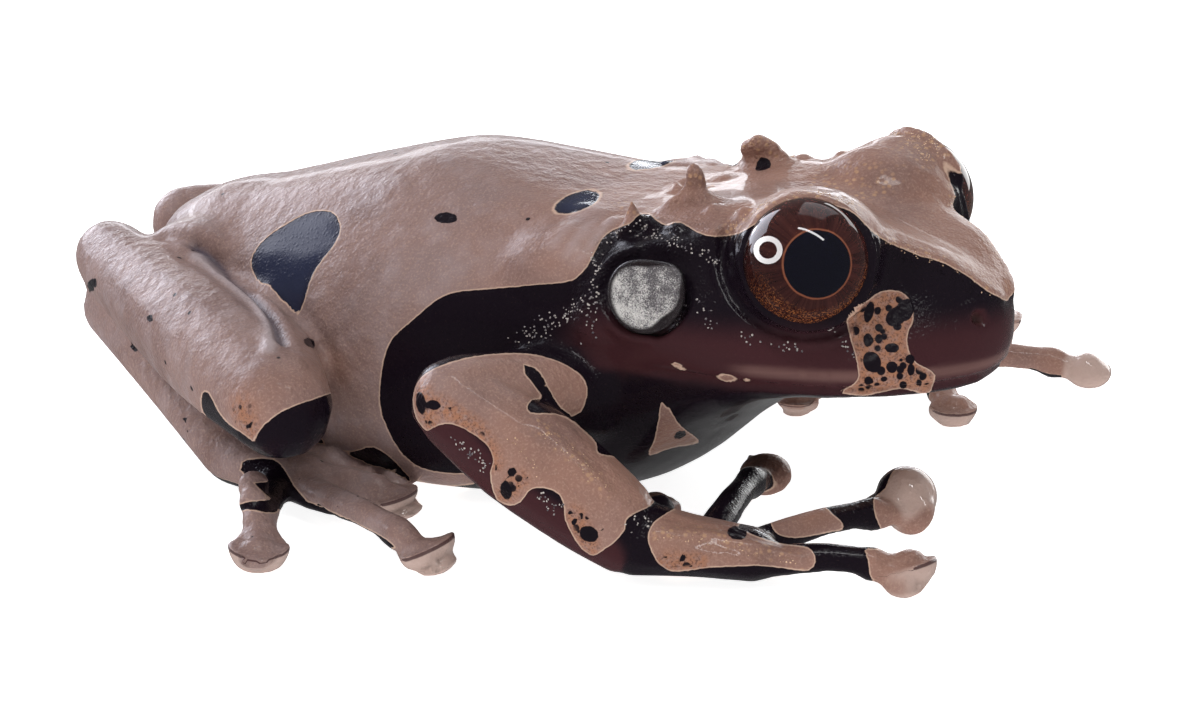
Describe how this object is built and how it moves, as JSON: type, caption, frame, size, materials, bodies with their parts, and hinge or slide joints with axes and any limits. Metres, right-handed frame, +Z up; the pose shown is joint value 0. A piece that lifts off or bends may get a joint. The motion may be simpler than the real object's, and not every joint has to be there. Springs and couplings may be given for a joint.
{
  "type": "crowned tree frog",
  "caption": "Life-size crowned tree frog sitting still, elbows out and heels raised, with discs on its digits and small spines on its crown.",
  "frame": {"origin": "on the floor, under the middle of the whole frog's bounding box", "axes": "+X out of the snout, +Y to the frog's left, +Z up"},
  "size_m": [0.063, 0.0668, 0.0222],
  "materials": {
    "tan_skin": "wet, glossy skin",
    "dark_skin": "wet, glossy skin",
    "eye": "polished",
    "eardrum": "glossy"
  },
  "bodies": {
    "root": {"head": "tan_skin", "lower_jaw": "dark_skin", "torso": "tan_skin", "eye_left": "eye", "eye_right": "eye", "eardrum_left": "eardrum", "eardrum_right": "eardrum", "upper_arm_left": "tan_skin", "upper_arm_right": "tan_skin", "forearm_left": "tan_skin", "forearm_right": "tan_skin", "hand_left": "tan_skin", "hand_right": "tan_skin", "finger_left_1": "tan_skin", "finger_left_2": "tan_skin", "finger_left_3": "tan_skin", "finger_left_4": "tan_skin", "finger_right_1": "tan_skin", "finger_right_2": "tan_skin", "finger_right_3": "tan_skin", "finger_right_4": "tan_skin", "thigh_left": "tan_skin", "thigh_right": "tan_skin", "shank_left": "tan_skin", "shank_right": "tan_skin", "tarsus_left": "tan_skin", "tarsus_right": "tan_skin", "foot_left": "tan_skin", "foot_right": "tan_skin", "toe_left_1": "tan_skin", "toe_left_2": "tan_skin", "toe_left_3": "tan_skin", "toe_left_4": "tan_skin", "toe_left_5": "tan_skin", "toe_right_1": "tan_skin", "toe_right_2": "tan_skin", "toe_right_3": "tan_skin", "toe_right_4": "tan_skin", "toe_right_5": "tan_skin"}
  },
  "joints": []
}
